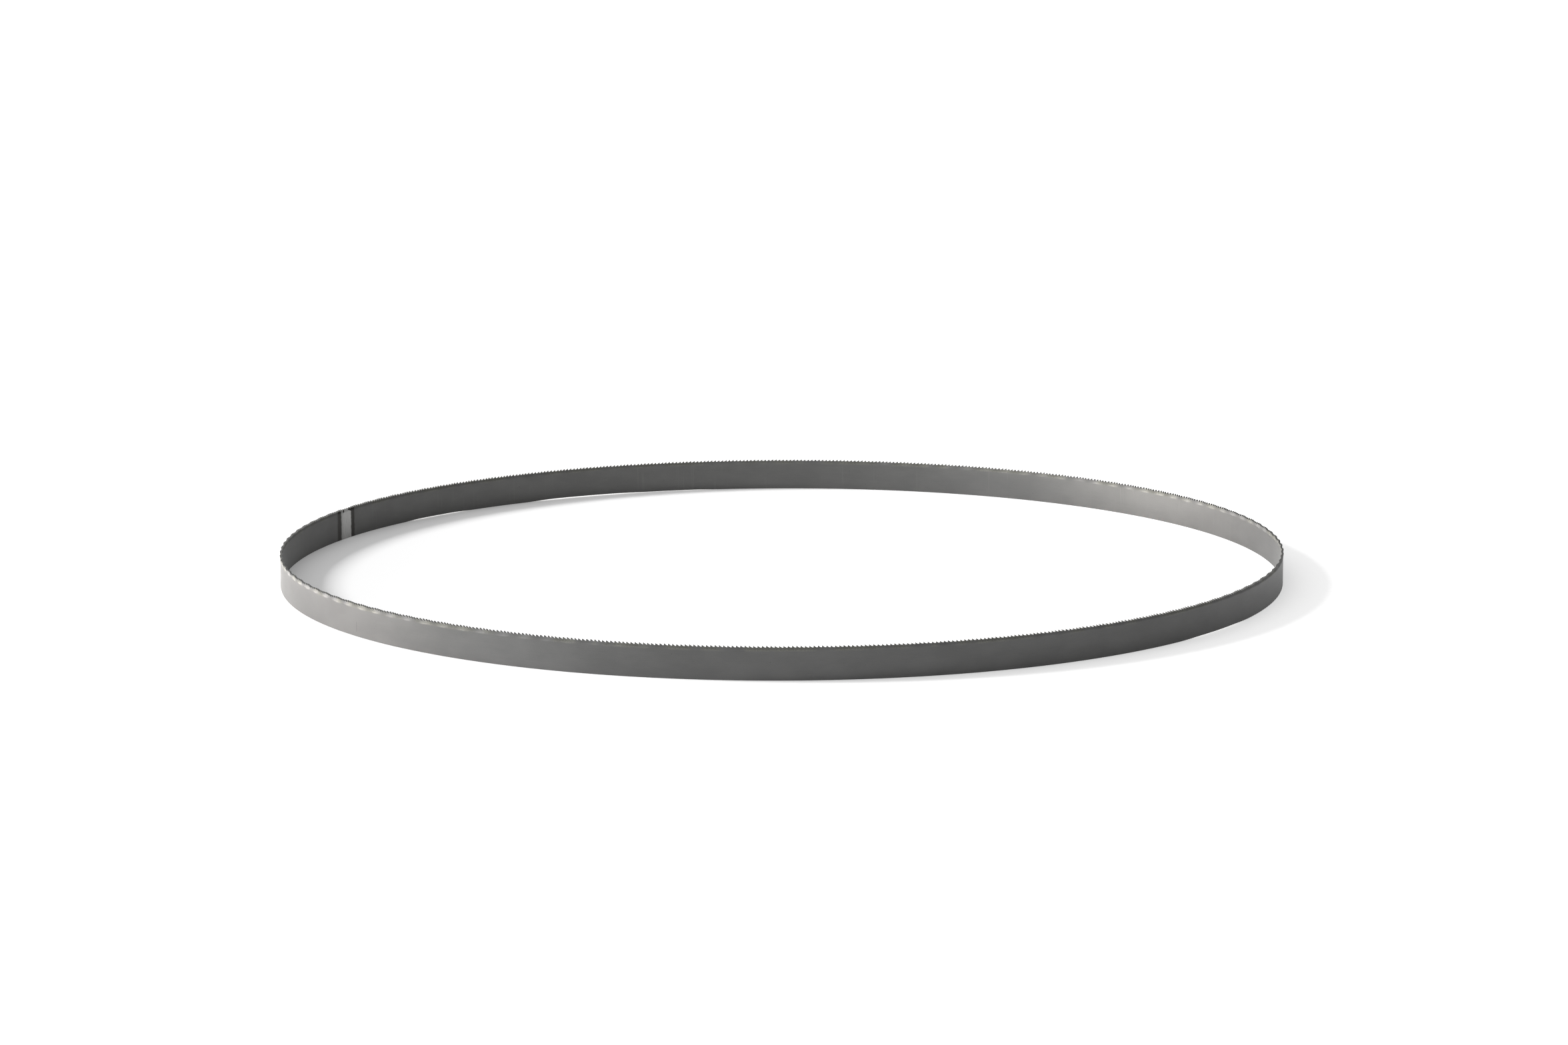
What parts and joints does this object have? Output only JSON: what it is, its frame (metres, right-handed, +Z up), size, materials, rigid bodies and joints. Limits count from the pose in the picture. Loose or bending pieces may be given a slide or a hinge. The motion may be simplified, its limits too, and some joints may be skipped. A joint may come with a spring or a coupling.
{
  "type": "band saw blade",
  "caption": "Endless steel band saw blade with a fine wavy-set toothed edge and a ground butt weld, standing on its back edge.",
  "frame": {"origin": "centre of the loop, on the plane of the band's back edge", "axes": "+Z up along the loop's axis, from the back edge to the tooth tips; -Y towards the viewer of the picture; the weld lies 155 degrees round from +X"},
  "size_m": [0.4054, 0.4054, 0.013],
  "materials": {
    "blade_steel": "satin rolled spring steel with a ground weld"
  },
  "bodies": {
    "root": {"saw_band": "blade_steel"}
  },
  "joints": []
}
